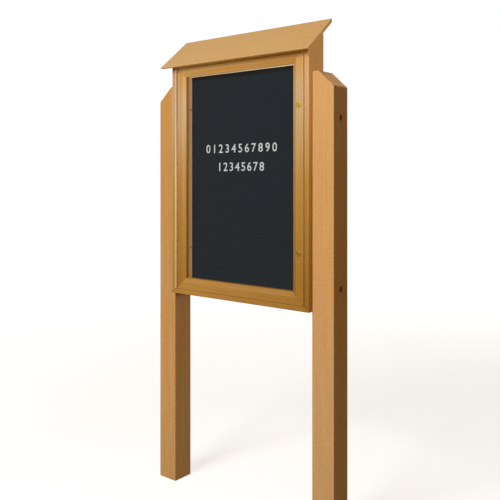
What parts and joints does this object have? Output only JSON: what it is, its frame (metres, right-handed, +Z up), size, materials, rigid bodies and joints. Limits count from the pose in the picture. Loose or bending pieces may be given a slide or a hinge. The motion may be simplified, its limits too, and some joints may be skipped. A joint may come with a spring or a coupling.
{
  "type": "outdoor letter board",
  "caption": "Post-mounted outdoor letter board: a shallow roofed cabinet with a hinged, locking window door over a grooved black panel that holds push-in characters.",
  "frame": {"origin": "on the ground, under the middle of the part's box", "axes": "+Z up the posts, +X across the cabinet to the lock side, -Y is the front that the door faces"},
  "size_m": [0.8382, 0.1484, 1.7796],
  "materials": {
    "plastic_lumber": "matt tan plastic board, lightly speckled and streaked along its length",
    "letter_felt": "black felt over a grooved board",
    "character_white": "white moulded plastic",
    "clear_acrylic": "clear flat sheet",
    "hinge_metal": "satin, warm toned",
    "lock_brass": "satin brass",
    "zinc_steel": "zinc plated",
    "seal_rubber": "matt foam rubber"
  },
  "bodies": {
    "stand": {"left_post": "plastic_lumber", "right_post": "plastic_lumber", "cabinet_left_side": "plastic_lumber", "cabinet_right_side": "plastic_lumber", "cabinet_bottom": "plastic_lumber", "cabinet_head": "plastic_lumber", "cabinet_back": "plastic_lumber", "roof_board": "plastic_lumber", "left_roof_block": "plastic_lumber", "right_roof_block": "plastic_lumber", "left_jamb": "plastic_lumber", "right_jamb": "plastic_lumber", "top_jamb": "plastic_lumber", "bottom_jamb": "plastic_lumber", "upper_batten": "plastic_lumber", "lower_batten": "plastic_lumber", "letter_panel": "letter_felt", "upper_line_characters": "character_white", "lower_line_characters": "character_white", "door_seal": "seal_rubber", "hinge_frame_leaf": "hinge_metal", "hinge_pin": "zinc_steel", "upper_strike": "zinc_steel", "lower_strike": "zinc_steel", "upper_jamb_screw": "zinc_steel", "left_upper_bolt": "zinc_steel", "left_upper_washer": "zinc_steel", "left_upper_nut": "zinc_steel", "right_upper_bolt": "zinc_steel", "right_upper_washer": "zinc_steel", "right_upper_nut": "zinc_steel", "lower_jamb_screw": "zinc_steel", "left_lower_bolt": "zinc_steel", "left_lower_washer": "zinc_steel", "left_lower_nut": "zinc_steel", "right_lower_bolt": "zinc_steel", "right_lower_washer": "zinc_steel", "right_lower_nut": "zinc_steel"},
    "door": {"door_left_stile": "plastic_lumber", "door_right_stile": "plastic_lumber", "door_top_rail": "plastic_lumber", "door_bottom_rail": "plastic_lumber", "window_pane": "clear_acrylic", "pane_stop_left": "plastic_lumber", "pane_stop_right": "plastic_lumber", "pane_stop_top": "plastic_lumber", "pane_stop_bottom": "plastic_lumber", "hinge_door_leaf": "hinge_metal", "upper_lock_barrel": "lock_brass", "lower_lock_barrel": "lock_brass", "upper_lock_nut": "zinc_steel", "lower_lock_nut": "zinc_steel"},
    "upper_lock": {"upper_lock_plug": "lock_brass", "upper_lock_cam": "zinc_steel", "upper_cam_screw": "zinc_steel"},
    "lower_lock": {"lower_lock_plug": "lock_brass", "lower_lock_cam": "zinc_steel", "lower_cam_screw": "zinc_steel"}
  },
  "joints": [
    {"name": "door_hinge", "type": "hinge", "parent": "stand", "child": "door", "pos_m": [-0.3064, -0.035, 1.162], "axis": [0, 0, -1], "range_deg": [0, 180]},
    {"name": "upper_lock_turn", "type": "hinge", "parent": "door", "child": "upper_lock", "pos_m": [0.288, -0.0332, 1.474], "axis": [0, -1, 0], "range_deg": [0, 90]},
    {"name": "lower_lock_turn", "type": "hinge", "parent": "door", "child": "lower_lock", "pos_m": [0.288, -0.0332, 0.962], "axis": [0, -1, 0], "range_deg": [0, 90]}
  ]
}
